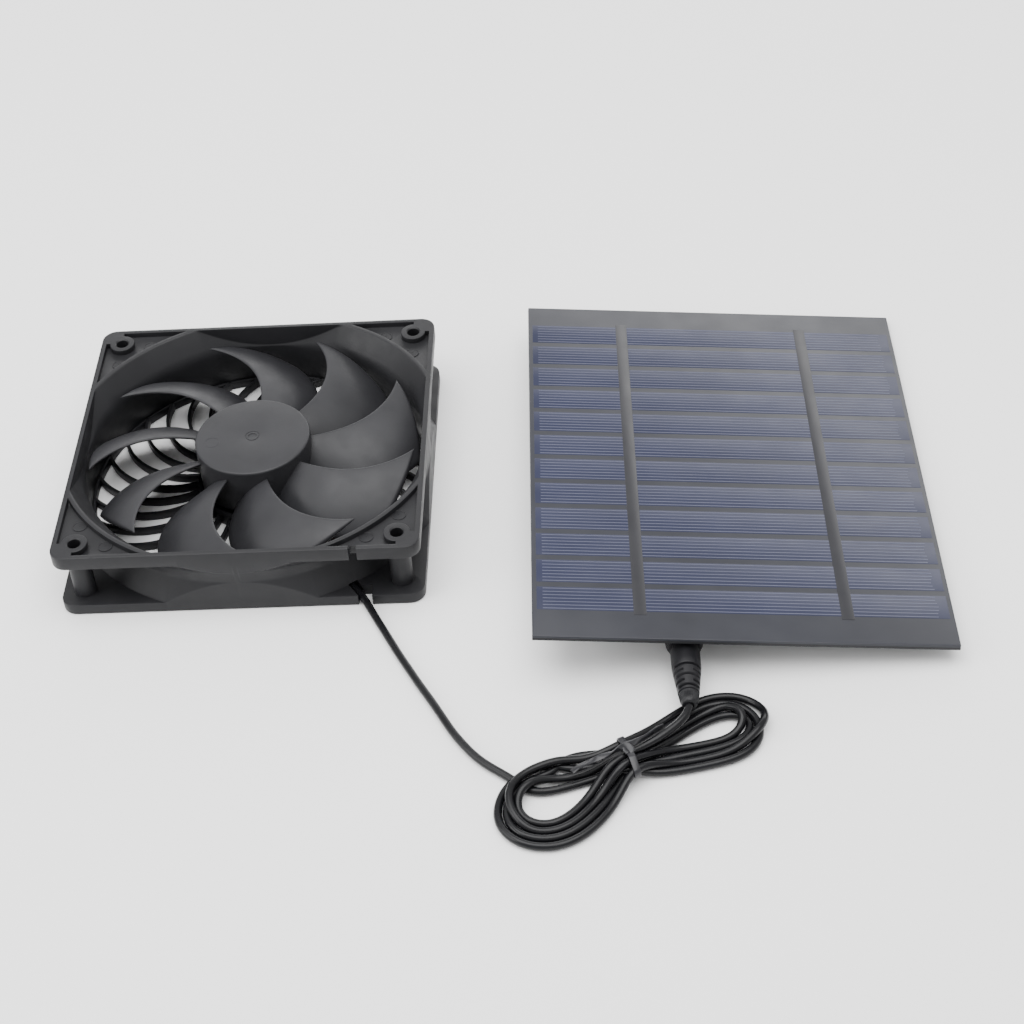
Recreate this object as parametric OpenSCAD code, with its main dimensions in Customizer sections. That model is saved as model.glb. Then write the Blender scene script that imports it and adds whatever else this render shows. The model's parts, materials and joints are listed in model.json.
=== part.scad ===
// Solar attic fan: a 12 cm axial fan, a thin solar panel with a junction box, and the lead that joins them.
// Millimetres, +Z up. The origin is the centre of the fan's exhaust face, on the rotor's axis.
// The panel leans on its junction box, with its far right corner almost on the surface.

/* [Fan frame] */
// Width of the square frame
fan_w = 120; // [104:1:150]
// Height of the frame along the rotor's axis
fan_h = 25; // [25:0.5:38]
// Radius of the frame's four corners
corner_r = 5; // [3:0.5:7]
// Thickness of the intake flange
intake_flange_t = 5; // [3:0.5:6]
// Thickness of the exhaust flange
exhaust_flange_t = 4; // [3.6:0.2:6]
// Distance from the frame's side to a screw hole's centre
hole_inset = 7.5; // [6:0.5:9]
// Diameter of a screw hole
hole_d = 4.3; // [3.5:0.1:4.8]
// Thickness of the duct wall at the middle of a side
duct_wall = 2; // [1.6:0.1:2.6]
// How much wider the duct's mouth is than the duct, on each side
mouth_flare = 6; // [4:0.5:7]
// Height of the flared part of the mouth
flare_h = 8; // [5:0.5:9]
// Thickness of the lip round the mouth
lip_t = 1.6; // [1:0.1:2]
// Depth of the pocket in each corner of the intake flange
pocket_depth = 2; // [1:0.5:2.5]
// Width of the rim outside each pocket
pocket_rim = 1.8; // [1.2:0.1:2.4]
// Place of the lead's notch across the front side
notch_x = 40.5; // [36:0.5:44]
// Width of the notch in the exhaust flange
notch_w = 4.6; // [4:0.2:6]

/* [Exhaust vanes] */
// Number of curved vanes
vane_count = 32; // [16:1:36]
// Thickness of a vane
vane_t = 1.2; // [0.8:0.1:1.6]
// Height of the vanes and of the ring round them
vane_h = 3; // [2:0.5:3]
// Radial width of the ring round the vanes
ring_w = 1.6; // [1.2:0.1:2.4]
// Diameter of the motor base
base_d = 43; // [41:0.5:52]

/* [Impeller] */
// Number of blades
blade_count = 9; // [5:1:9]
// Outside diameter of the hub
hub_d = 39.4; // [36:0.2:48]
// Thickness of the hub's wall
hub_wall = 1.6; // [1.2:0.1:1.8]
// Distance of the hub's top below the intake face
hub_drop = 1.7; // [1:0.1:3]
// Gap between a blade's tip and the duct
tip_gap = 1.8; // [1:0.1:3]
// Angle by which a blade's tip leads its root
blade_sweep = 23; // [10:1:26]
// Thickness of a blade at its middle
blade_t = 1.9; // [1.4:0.1:2.4]
// Diameter of the shaft
shaft_d = 3; // [2:0.1:3.2]

/* [Solar panel] */
// Width of the panel
panel_w = 132; // [112:1:160]
// Length of the panel, front to back
panel_l = 174; // [146:1:210]
// Thickness of the dark laminate that holds the cells
laminate_t = 0.8; // [0.6:0.1:1.2]
// Thickness of the backing board
board_t = 1; // [0.8:0.1:1.6]
// Number of cell strips
cell_count = 12; // [6:1:14]
// Height of one cell strip, front to back
cell_l = 10.5; // [8:0.1:10.6]
// Gap between two cell strips
cell_gap = 2.27; // [1:0.01:2.3]
// Margin beyond the back strip
back_margin = 11; // [8:0.5:12]
// Margin at the ends of the strips
side_margin = 1.5; // [1:0.1:4]
// Distance of each tape from the panel's middle
tape_x = 32.4; // [20:0.2:45]
// Width of a tape
tape_w = 4; // [2:0.5:6]
// Lean of the panel from left to right, in degrees
lean_side = 5.65; // [5:0.05:6]
// Lean of the panel from back to front, in degrees
lean_front = -1.8; // [-2:0.05:-1.5]
// Turn of the panel about the vertical, in degrees
panel_turn = 1; // [0:0.1:2]

/* [Junction box] */
// Width of the box
box_w = 28; // [26:0.5:34]
// Length of the box
box_l = 32; // [30:0.5:38]
// Depth of the box below the board
box_h = 11; // [10.6:0.1:12]
// Thickness of the box's walls
box_wall = 1.3; // [1:0.1:1.6]
// Distance of the socket's mouth behind the panel's front edge
socket_set = 13; // [11:0.5:16]

/* [Plug and lead] */
// Outside diameter of the plug's barrel
barrel_d = 5.5; // [5:0.1:5.6]
// Length of the plug's barrel
barrel_l = 9.5; // [8:0.1:9.5]
// Diameter of the socket's centre pin
pin_d = 2; // [1.6:0.05:2.1]
// Diameter of the plug's collar
collar_d = 12; // [10:0.2:12.2]
// Diameter of the lead
lead_d = 2.6; // [2.4:0.1:2.8]

/* [Hidden] */
$fn = 64;

// Fits
run_gap = 0.05;
seat_gap = 0.05;
part_gap = 0.3;

// Frame
half_w = fan_w / 2;
duct_r = half_w - duct_wall;
flat_r = duct_r + 0.3;
hole_at = half_w - hole_inset;
mouth_r = duct_r + mouth_flare;
flare_z = fan_h - flare_h;
lower_bell = 5;
lower_bell_h = 8;
boss_r = hole_d / 2 + 2.2;
column_r = hole_d / 2 + 1.5;
mark_r = 2.4;
mark_depth = 0.15;
top_notch_w = 2.6;
notch_depth = 5;
ring_seat = 0.95;
ring_outer = duct_r + ring_seat;
ring_inner = ring_outer - ring_w - 0.2;

// Motor base
base_r = base_d / 2;
base_floor_z = 0.8;
base_floor_t = 1.8;
base_rim_t = 1.5;
base_rim_top = 5;
boss_top = 5.4;
tube_boss_r = 6.5;
vane_arc = 0.45 * duct_r;
vane_arc_at = 0.683 * duct_r;

// Channel for the motor's leads, on one straight line from the motor to the notch
channel_angle = atan2(-half_w, notch_x);
channel_floor = 1;
channel_w = 3.6;
channel_start = 16.8;
wire_d = 1.2;
wire_side = 0.75;
wire_z = channel_floor + wire_d / 2 + 0.1;

// Bearing
tube_r = 4.4;
tube_bore = 3.5;
tube_z0 = 1.2;
tube_top = 17;
cap_top = 2.8;
bearing_z0 = 5;
bearing_top = 15.6;
seal_top = 16.6;

// Stator
core_z0 = 8.2;
core_top = 16.2;
pole_tip_t = 1.6;
pole_w = 4;
yoke_ring_r = 7.6;
bobbin_skin = 0.6;
bobbin_arm_w = pole_w + 2;
coil_wall = 1.8;
coil_z0 = 6;
coil_top = 18.4;
coil_r0 = 7.9;
pcb_z0 = 3.2;
pcb_t = 1;
label_t = 0.25;
chip_h = 1.2;
pcb_edge_gap = 3.5;
pcb_r = base_r - base_rim_t - pcb_edge_gap;

// Rotor
hub_r = hub_d / 2;
hub_top = fan_h - hub_drop;
hub_skin = 2;
hub_ceiling = hub_top - hub_skin;
hub_z0 = base_rim_top + 1;
hub_inner = hub_r - hub_wall;
hub_round = 0.9;
yoke_t = 1;
yoke_z0 = hub_z0 + 0.6;
yoke_inner = hub_inner - seat_gap - yoke_t;
magnet_t = 1.75;
air_gap = 0.9;
core_r = yoke_inner - magnet_t - air_gap;
coil_end_gap = 2.8;
coil_r1 = core_r - coil_end_gap;
magnet_z0 = yoke_z0 + 0.8;
magnet_top = hub_ceiling - yoke_t;
bush_r = 3;
hub_boss_r = 4.2;
hub_boss_z0 = hub_ceiling - 2.3;
shaft_r = shaft_d / 2;
shaft_z0 = cap_top + 0.2;
shaft_top = hub_ceiling + 1;
clip_z0 = 3.6;
clip_t = 0.5;
groove_r = shaft_r - 0.3;

// Blades
tip_r = duct_r - tip_gap;
blade_root_r = hub_r - 0.8;
tip_angle = 32.4;
blade_step = 360 / blade_count;
root_gap = 3;
tip_gap_angle = 9;
lead_z_root = hub_top - 3.3;
lead_z_tip = hub_top - 1.6;
trail_z_root = hub_z0 + 1.6;
trail_z_tip = hub_z0 + 2.3;
across = 6;
along = 5;

// Panel
panel_x = 160.2;
panel_y = -9;
cell_pitch = cell_l + cell_gap;
cell_t = 0.25;
tape_t = 0.1;
tape_over = 1.5;
board_z = -(laminate_t + board_t);
box_x = -18.3;
box_y1 = -panel_l / 2 + socket_set;
box_y2 = box_y1 + box_l;
box_round = 2;
box_bottom = board_z - box_h;
base_plate_t = 1.2;
base_plate_z = board_z - base_plate_t;
socket_z = board_z - 6.3;
socket_half = 4.5;
socket_l = 13;
socket_bore = barrel_d / 2 + 0.45;
nose_r = 4.1;
post_r = 1.9;
screw_inset = box_wall + post_r + part_gap;
screw_r = 0.9;
screw_head_r = 1.7;
screw_head_t = 1;
wire_x = 7;
screw_gap = 0.1;
screw_sink = 0.1;
slot_w = 0.4;
slot_l = 1.9;
slot_depth = 0.3;
diode_r = 1.35;
diode_l = 5.2;
diode_lead_r = 0.4;
diode_lead_l = 14;
panel_wire_r = 0.55;
tab_w = 3;
tab_l = 4;
tab_t = 0.2;
tab_y = box_y2 - 8;
spring_t = 0.45;
spring_w = 3;
tip_room = 1.6;
// Height of a point of the leaning panel above the panel's own centre
function rise(x, y, z) =
    -sin(lean_side) * x + cos(lean_side) * sin(lean_front) * y + cos(lean_side) * cos(lean_front) * z;
// The panel stands just clear of the surface, so that it still clears it when it is pulled off the plug
floor_gap = 0.4;
box_low = min([for (x = [-1, 1], y = [box_y1, box_y2]) rise(box_x + x * box_w / 2, y, box_bottom)]);
board_low = min([for (x = [-1, 1], y = [-1, 1]) rise(x * panel_w / 2, y * panel_l / 2, board_z)]);
panel_z = floor_gap - min(box_low, board_low);

// Plug, along the socket's axis with its collar near the socket's mouth
plug_face = 0.3;
plug_l = 33;
collar_l = 6.5;
collar_r = collar_d / 2;
grip_r = collar_r - 1.4;
tail_r = 3.1;
barrel_wall = (barrel_d - pin_d) / 2 - 0.06;
barrel_seat = 4;
plug_edge = 0.6;
shoulder_l = 2.8;
grip_end = 17.5;
relief_end = 29.2;
tail_round = 0.9;

// Lead from the frame's notch to the bundle, along the surface that everything stands on
cord_r = lead_d / 2;
lead_route = [
    [34, -50.4, 2.4], [36.8, -54.5, 2.4], [39.5, -58.6, 2.2], [41.8, -62.6, 1.7], [44, -67, 1.4],
    [47, -73, 1.4], [50, -79, 1.4], [53, -85, 1.4], [56.5, -91.5, 1.4], [60, -98, 1.4],
    [64, -105, 1.4], [67.5, -111.5, 1.4], [71, -118, 1.4], [75, -124, 1.4], [79.5, -130, 1.4],
    [84.5, -135.5, 1.4], [90, -139.5, 1.4]
];
// Lead from the bundle to the plug's tail
plug_route = [
    [127, -132, 5.8], [130.5, -129.9, 6.4], [134.2, -127.6, 7], [137.8, -125, 7.7],
    [140.8, -122.2, 8.2], [142.7, -119.2, 8.4], [143.4, -116, 8.5], [143.4, -113.5, 8.4]
];
bundle_left = [103.5, -146.5];
bundle_left_r = 17.5;
bundle_right = [155.8, -121];
bundle_right_r = 11;
bundle_h = 6.8;
bundle_turn = atan2(bundle_right[1] - bundle_left[1], bundle_right[0] - bundle_left[0]);
waist_at = [124.5, -133];
waist_w = 12;
waist_z0 = 1;
waist_z1 = 6.2;
tie_t = 1;
tie_w = 1.6;

// ---------- shapes that several parts share ----------

module ring(outer_r, inner_r, z0, z1) {
    translate([0, 0, z0]) difference() {
        cylinder(r = outer_r, h = z1 - z0);
        translate([0, 0, -1]) cylinder(r = inner_r, h = z1 - z0 + 2);
    }
}

module rounded_square(w, l, r) {
    square([w - 2 * r, l], center = true);
    square([w, l - 2 * r], center = true);
    for (x = [-1, 1], y = [-1, 1])
        translate([x * (w / 2 - r), y * (l / 2 - r)]) circle(r = r);
}

module at_corners(d) {
    for (x = [-1, 1], y = [-1, 1]) translate([x * d, y * d, 0]) children();
}

module on_panel() {
    translate([panel_x, panel_y, panel_z]) rotate([lean_front, lean_side, panel_turn]) children();
}

// The socket's axis, pointing out of the socket's mouth
module on_socket_axis() {
    on_panel() translate([box_x, box_y1, socket_z]) rotate([90, 0, 0]) children();
}

// ---------- sweeps ----------

function unit(v) = v / norm(v);
function heading(p, i) = unit(p[min(i + 1, len(p) - 1)] - p[max(i - 1, 0)]);
function loop_at(c, t, r, n) =
    let (side = unit(cross(t, [0, 0, 1])), up = cross(side, t))
    [for (k = [0:n - 1]) c + r * cos(360 * k / n) * side + r * sin(360 * k / n) * up];

module swept_tube(route, r, n) {
    last = len(route) - 1;
    points = [for (i = [0:last]) each loop_at(route[i], heading(route, i), r, n)];
    start_cap = [[for (k = [0:n - 1]) k]];
    end_cap = [[for (k = [n - 1:-1:0]) last * n + k]];
    walls = [
        for (i = [0:last - 1], k = [0:n - 1])
            let (a = i * n + k, b = i * n + (k + 1) % n)
            each [[a, a + n, b], [b, a + n, b + n]]
    ];
    polyhedron(points, concat(start_cap, end_cap, walls));
}

// ---------- fan: fixed parts ----------

module duct_outside() {
    rotate_extrude($fn = 128) polygon([
        [0, 0], [duct_r + duct_wall + lower_bell, 0],
        [duct_r + duct_wall + lower_bell, exhaust_flange_t],
        [duct_r + duct_wall, exhaust_flange_t + lower_bell_h],
        [duct_r + duct_wall, flare_z - 1],
        [mouth_r + lip_t, fan_h - 1], [mouth_r + lip_t, fan_h], [0, fan_h]
    ]);
}

module duct_inside() {
    translate([0, 0, -1]) cylinder(r = ring_outer + seat_gap, h = vane_h + 1, $fn = 128);
    intersection() {
        rotate_extrude($fn = 128) polygon([
            [0, 0], [duct_r, 0], [duct_r, flare_z],
            [mouth_r, fan_h], [mouth_r, fan_h + 1], [0, fan_h + 1]
        ]);
        cube([2 * flat_r, 2 * flat_r, 4 * fan_h], center = true);
    }
}

module corner_pockets() {
    translate([0, 0, fan_h - pocket_depth]) linear_extrude(pocket_depth + 1) difference() {
        rounded_square(fan_w - 2 * pocket_rim, fan_w - 2 * pocket_rim, corner_r - pocket_rim);
        circle(r = mouth_r + lip_t, $fn = 128);
        at_corners(hole_at) circle(r = boss_r);
        for (x = [-1, 1], y = [-1, 1])
            translate([x * half_w, y * half_w]) square(2 * hole_inset, center = true);
    }
}

module ejector_marks() {
    for (x = [-1, 1], y = [-1, 1]) {
        translate([x * (hole_at - 10), y * hole_at, fan_h - pocket_depth - mark_depth])
            cylinder(r = mark_r, h = 1);
        translate([x * hole_at, y * (hole_at - 10), fan_h - pocket_depth - mark_depth])
            cylinder(r = mark_r, h = 1);
    }
}

module lead_cuts() {
    rotate([0, 0, channel_angle]) {
        translate([duct_r - 2, -channel_w / 2, channel_floor]) cube([6, channel_w, 2.6]);
        translate([duct_r + 1.6, -(lead_d + 0.8) / 2, channel_floor]) cube([30, lead_d + 0.8, 3.4]);
    }
    translate([notch_x - notch_w / 2, -half_w - 1, -1])
        cube([notch_w, notch_depth + 1, exhaust_flange_t + 2]);
    translate([notch_x - notch_w / 2 - 1, -half_w - 1, fan_h - intake_flange_t - 1])
        cube([top_notch_w, pocket_rim + 1.6, intake_flange_t + 2]);
}

module fan_frame() {
    color("#26272a") difference() {
        intersection() {
            linear_extrude(fan_h) rounded_square(fan_w, fan_w, corner_r);
            union() {
                duct_outside();
                cube([2 * fan_w, 2 * fan_w, 2 * exhaust_flange_t], center = true);
                translate([0, 0, fan_h]) cube([2 * fan_w, 2 * fan_w, 2 * intake_flange_t], center = true);
                at_corners(hole_at) cylinder(r = column_r, h = fan_h);
            }
        }
        duct_inside();
        corner_pockets();
        ejector_marks();
        lead_cuts();
        translate([0, 0, -1]) at_corners(hole_at) cylinder(d = hole_d, h = fan_h + 2);
    }
}

module one_vane() {
    linear_extrude(vane_h) intersection() {
        translate([0, -vane_arc_at]) difference() {
            circle(r = vane_arc + vane_t / 2, $fn = 96);
            circle(r = vane_arc - vane_t / 2, $fn = 96);
        }
        translate([0, -fan_w]) square([fan_w, 2 * fan_w]);
        difference() {
            circle(r = ring_inner + 0.5, $fn = 96);
            circle(r = base_r - 0.5, $fn = 96);
        }
    }
}

module exhaust_vanes() {
    color("#2b2c2f") difference() {
        union() {
            ring(ring_outer, ring_inner, 0, vane_h, $fn = 128);
            for (i = [0:vane_count - 1]) rotate([0, 0, 360 * (i + 0.5) / vane_count]) one_vane();
            translate([0, 0, base_floor_z]) cylinder(r = base_r, h = base_floor_t);
            ring(base_r, base_r - base_rim_t, 0, base_rim_top);
            translate([0, 0, base_floor_z]) cylinder(r = tube_boss_r, h = boss_top - base_floor_z);
            rotate([0, 0, channel_angle]) translate([base_r - 1, -channel_w / 2 - 1, 0])
                cube([ring_inner - base_r + 1.5, channel_w + 2, vane_h]);
        }
        translate([0, 0, -1]) cylinder(r = tube_r + seat_gap, h = fan_h);
        rotate([0, 0, channel_angle]) translate([channel_start, -channel_w / 2, channel_floor])
            cube([fan_w, channel_w, fan_h]);
    }
}

module base_label() {
    color("#c9cbcc") translate([0, 0, base_floor_z - label_t])
        cylinder(r = base_r - base_rim_t - 0.4, h = label_t);
}

module bearing_tube() {
    color("#b08d4a") ring(tube_r, tube_bore, tube_z0, tube_top);
}

module thrust_cap() {
    color("#e6e2d6") translate([0, 0, tube_z0]) cylinder(r = tube_bore - 0.02, h = cap_top - tube_z0);
}

module sleeve_bearing() {
    color("#9a7b45") ring(tube_bore - 0.02, shaft_r + run_gap, bearing_z0, bearing_top);
}

module oil_seal() {
    color("#d8d8d4") ring(tube_bore - 0.02, shaft_r + part_gap, bearing_top, seal_top);
}

module four_poles() {
    for (a = [0:90:270]) rotate([0, 0, a + 45]) children();
}

module stator_core() {
    color("#8b8d90") difference() {
        translate([0, 0, core_z0]) linear_extrude(core_top - core_z0) {
            circle(r = yoke_ring_r);
            four_poles() translate([0, -pole_w / 2]) square([core_r - 1, pole_w]);
            intersection() {
                difference() {
                    circle(r = core_r);
                    circle(r = core_r - pole_tip_t);
                }
                four_poles() polygon([[0, 0], [2 * core_r, -1.55 * core_r], [2 * core_r, 1.55 * core_r]]);
            }
        }
        cylinder(r = tube_r + seat_gap, h = fan_h);
    }
}

// Insulator on one face of the core: z0 is the face that touches it, up is 1 or -1
module bobbin(z0, rise, up) {
    difference() {
        translate([0, 0, up > 0 ? z0 : z0 - rise]) union() {
            cylinder(r = yoke_ring_r, h = rise);
            translate([0, 0, up > 0 ? 0 : rise - bobbin_skin]) four_poles()
                translate([0, -bobbin_arm_w / 2, 0]) cube([coil_r1 + 0.8, bobbin_arm_w, bobbin_skin]);
            four_poles() translate([coil_r1 + 0.1, -bobbin_arm_w / 2, 0]) cube([0.7, bobbin_arm_w, rise]);
        }
        cylinder(r = tube_r + 0.6, h = 2 * fan_h, center = true);
    }
}

module lower_bobbin() {
    color("#d9c9a0") bobbin(core_z0, core_z0 - boss_top, -1);
}

module upper_bobbin() {
    color("#d9c9a0") bobbin(core_top, coil_top - core_top, 1);
}

module stator_coils() {
    skin = bobbin_skin;
    color("#a5542c") four_poles() difference() {
        translate([coil_r0, -bobbin_arm_w / 2 - coil_wall, coil_z0])
            cube([coil_r1 - coil_r0, bobbin_arm_w + 2 * coil_wall, coil_top - coil_z0]);
        translate([0, -bobbin_arm_w / 2, core_z0 - skin])
            cube([core_r, bobbin_arm_w, core_top - core_z0 + 2 * skin]);
    }
}

module motor_board() {
    color("#2f6b3c") ring(pcb_r, tube_boss_r + 0.1, pcb_z0, pcb_z0 + pcb_t);
}

module driver_chip() {
    color("#1b1b1d") {
        translate([-2.5, 9, pcb_z0 + pcb_t]) cube([5, 4, chip_h]);
        translate([-13.5, -1.6, pcb_z0 + pcb_t]) cube([2, 3.2, chip_h - 0.1]);
    }
}

module motor_lead(side) {
    pad_z = pcb_z0 + pcb_t + wire_d / 2;
    rise_r = channel_start + 0.5 + wire_d / 2 - 0.3;
    rotate([0, 0, channel_angle]) translate([0, side * wire_side, 0]) {
        translate([rise_r, 0, wire_z]) rotate([0, 90, 0])
            cylinder(d = wire_d, h = duct_r + 1.8 - rise_r, $fn = 24);
        translate([rise_r, 0, wire_z]) cylinder(d = wire_d, h = pad_z - wire_z, $fn = 24);
        translate([rise_r, 0, wire_z]) sphere(d = wire_d, $fn = 24);
        translate([rise_r, 0, pad_z]) sphere(d = wire_d, $fn = 24);
        translate([rise_r - 3.5, 0, pad_z]) rotate([0, 90, 0]) cylinder(d = wire_d, h = 3.5, $fn = 24);
    }
}

module lead_positive() {
    color("#a32020") motor_lead(1);
}

module lead_negative() {
    color("#1c1c1e") motor_lead(-1);
}

// ---------- fan: rotor ----------

// Share of the way out along a blade, and the angle of its leading edge there
function radius_at(s) = blade_root_r + s * (tip_r - blade_root_r);
function lead_angle(s) = tip_angle - blade_sweep * (1 - s * s);
function chord_angle(s) = blade_step - root_gap - (tip_gap_angle - root_gap) * s;
function lead_z(s) = lead_z_root + (lead_z_tip - lead_z_root) * s;
function trail_z(s) = trail_z_root + (trail_z_tip - trail_z_root) * s;
// Share of the fall from leading to trailing edge, flat in front and steep behind
function fall(u) = 0.35 * u + 0.65 * u * u;
function slope_at(s, u) =
    (lead_z(s) - trail_z(s)) * (0.35 + 1.3 * u) / (radius_at(s) * chord_angle(s) * PI / 180);
function thickness_at(s, u) =
    blade_t * (0.5 + 2 * u * (1 - u)) * sqrt(1 + pow(slope_at(s, u), 2));
function blade_point(s, u, lower) =
    let (a = lead_angle(s) - chord_angle(s) * u, r = radius_at(s))
    [r * cos(a), r * sin(a), lead_z(s) - (lead_z(s) - trail_z(s)) * fall(u) - lower * thickness_at(s, u)];

module blade() {
    row = across + 1;
    sheet = row * (along + 1);
    points = [
        for (lower = [0, 1], i = [0:along], j = [0:across]) blade_point(i / along, j / across, lower)
    ];
    skins = [
        for (i = [0:along - 1], j = [0:across - 1])
            let (a = i * row + j, b = a + row)
            each [
                [a, b, b + 1], [a, b + 1, a + 1],
                [a + sheet, b + 1 + sheet, b + sheet], [a + sheet, a + 1 + sheet, b + 1 + sheet]
            ]
    ];
    ends = [
        for (j = [0:across - 1])
            let (a = j, b = along * row + j)
            each [
                [a, a + 1, a + 1 + sheet], [a, a + 1 + sheet, a + sheet],
                [b + 1, b, b + sheet], [b + 1, b + sheet, b + 1 + sheet]
            ]
    ];
    edges = [
        for (i = [0:along - 1])
            let (a = i * row, b = a + across)
            each [
                [a + row, a, a + sheet], [a + row, a + sheet, a + row + sheet],
                [b, b + row, b + row + sheet], [b, b + row + sheet, b + sheet]
            ]
    ];
    polyhedron(points, concat(skins, ends, edges));
}

module impeller() {
    round_steps = 3;
    color("#2e2f32") {
        difference() {
            rotate_extrude($fn = 96) polygon(concat(
                [[0, hub_z0], [hub_r, hub_z0]],
                [for (k = [0:round_steps]) let (a = 90 * k / round_steps)
                    [hub_r - hub_round + hub_round * cos(a), hub_top - hub_round + hub_round * sin(a)]],
                [[0, hub_top]]
            ));
            difference() {
                translate([0, 0, hub_z0 - 1]) cylinder(r = hub_inner, h = hub_ceiling - hub_z0 + 1);
                translate([0, 0, hub_boss_z0]) cylinder(r = hub_boss_r, h = fan_h);
            }
            translate([0, 0, hub_boss_z0 - 1]) cylinder(r = bush_r + 0.02, h = shaft_top - hub_boss_z0 + 1);
            ring(2.1, 1.5, hub_top - 0.25, hub_top + 1);
        }
        for (i = [0:blade_count - 1]) rotate([0, 0, blade_step * i]) blade();
    }
}

module rotor_yoke() {
    color("#9fa2a6") {
        ring(hub_inner - seat_gap, yoke_inner, yoke_z0, hub_ceiling);
        ring(hub_inner - seat_gap, hub_boss_r + 0.1, hub_ceiling - yoke_t, hub_ceiling);
    }
}

module ring_magnet() {
    color("#3b3a38") ring(yoke_inner - 0.02, yoke_inner - magnet_t, magnet_z0, magnet_top);
}

module shaft_bush() {
    color("#b89550") ring(bush_r, shaft_r + 0.02, hub_boss_z0, shaft_top);
}

module rotor_shaft() {
    color("#c9ccd0") difference() {
        translate([0, 0, shaft_z0]) cylinder(r = shaft_r, h = shaft_top - shaft_z0);
        ring(shaft_r + 1, groove_r, clip_z0 - 0.05, clip_z0 + clip_t + 0.05);
    }
}

module retaining_clip() {
    color("#e4e4e0") difference() {
        ring(2.7, groove_r + 0.05, clip_z0, clip_z0 + clip_t);
        translate([0, -0.6, clip_z0 - 1]) cube([4, 1.2, 3]);
    }
}

// ---------- solar panel ----------

module cell_strips(h) {
    first_y = panel_l / 2 - back_margin - cell_l;
    for (i = [0:cell_count - 1])
        translate([side_margin - panel_w / 2, first_y - i * cell_pitch, -cell_t])
            cube([panel_w - 2 * side_margin, cell_l, h]);
}

module panel_laminate() {
    color("#46484c") on_panel() difference() {
        translate([-panel_w / 2, -panel_l / 2, -laminate_t]) cube([panel_w, panel_l, laminate_t]);
        cell_strips(1);
    }
}

module solar_cells() {
    color("#464b69") on_panel() cell_strips(cell_t);
}

module busbar_tapes() {
    strips_l = cell_count * cell_pitch - cell_gap;
    color("#414145") on_panel() for (x = [-1, 1])
        translate([x * tape_x - tape_w / 2, panel_l / 2 - back_margin - strips_l - tape_over, 0])
            cube([tape_w, strips_l + 2 * tape_over, tape_t]);
}

module backing_board() {
    color("#2a2b2d") on_panel() translate([-panel_w / 2, -panel_l / 2, board_z])
        cube([panel_w, panel_l, board_t]);
}

module solder_tabs() {
    color("#b9bcc0") on_panel() for (x = [-1, 1])
        translate([box_x + x * wire_x - tab_w / 2, tab_y, board_z - tab_t]) cube([tab_w, tab_l, tab_t]);
}

module box_outline(grow) {
    translate([box_x, (box_y1 + box_y2) / 2])
        rounded_square(box_w + 2 * grow, box_l + 2 * grow, box_round + grow);
}

module at_screws() {
    for (x = [-1, 1], y = [0, 1])
        translate([
            box_x + x * (box_w / 2 - screw_inset),
            y * (box_l - 2 * screw_inset) + box_y1 + screw_inset, 0
        ]) children();
}

module junction_base() {
    color("#1f2022") on_panel() difference() {
        union() {
            translate([0, 0, base_plate_z]) linear_extrude(base_plate_t) box_outline(0);
            at_screws() translate([0, 0, box_bottom + box_wall])
                cylinder(r = post_r, h = base_plate_z - box_bottom - box_wall);
        }
        for (x = [-1, 1]) translate([box_x + x * wire_x - tab_w / 2 - 0.5, tab_y - 0.5, base_plate_z - 1])
            cube([tab_w + 1, tab_l + 1, base_plate_t + 2]);
        at_screws() translate([0, 0, box_bottom]) cylinder(r = screw_r + 0.02, h = 8);
    }
}

module junction_cover() {
    color("#1f2022") on_panel() difference() {
        translate([0, 0, box_bottom]) linear_extrude(base_plate_z - box_bottom) box_outline(0);
        translate([0, 0, box_bottom + box_wall]) linear_extrude(box_h) box_outline(-box_wall);
        translate([box_x, box_y1 + 5, socket_z]) rotate([90, 0, 0]) cylinder(r = nose_r + 0.05, h = 10);
        at_screws() translate([0, 0, box_bottom - 1]) {
            cylinder(r = screw_r + screw_gap + 0.05, h = box_h);
            cylinder(r = screw_head_r + screw_gap, h = 1 + screw_head_t - 0.2);
        }
    }
}

module cover_screws() {
    color("#8e9196") on_panel() at_screws() difference() {
        union() {
            translate([0, 0, box_bottom + screw_head_t - 0.2]) cylinder(r = screw_r, h = 6);
            translate([0, 0, box_bottom + screw_sink])
                cylinder(r = screw_head_r, h = screw_head_t - 0.2 - screw_sink);
        }
        for (a = [0, 90]) rotate([0, 0, a]) translate([0, 0, box_bottom + screw_sink])
            cube([slot_l, slot_w, 2 * slot_depth], center = true);
    }
}

module dc_socket() {
    color("#151516") on_panel() difference() {
        translate([box_x, box_y1, socket_z]) {
            rotate([-90, 0, 0]) cylinder(r = nose_r, h = box_wall + 0.5);
            translate([-socket_half, box_wall + 0.05, box_bottom + box_wall - socket_z])
                cube([2 * socket_half, socket_l - box_wall, base_plate_z - box_bottom - box_wall]);
        }
        translate([box_x, box_y1 - 1, socket_z]) rotate([-90, 0, 0])
            cylinder(r = socket_bore, h = barrel_l + tip_room);
        translate([box_x, box_y1, socket_z]) rotate([-90, 0, 0]) cylinder(d = pin_d + 0.04, h = 40);
        translate([box_x + socket_bore - 0.5, box_y1 + 3, socket_z - 1.6]) cube([0.95, 20, 3.2]);
    }
}

module socket_pin() {
    color("#c7a75a") on_panel() translate([box_x, box_y1 + 0.8, socket_z]) rotate([-90, 0, 0])
        cylinder(d = pin_d, h = socket_l + 1.2);
}

module socket_spring() {
    color("#c7a75a") on_panel()
        translate([box_x + socket_bore - 0.05, box_y1 + 3.2, socket_z - spring_w / 2])
            cube([spring_t, socket_l - 0.6, spring_w]);
}

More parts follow.
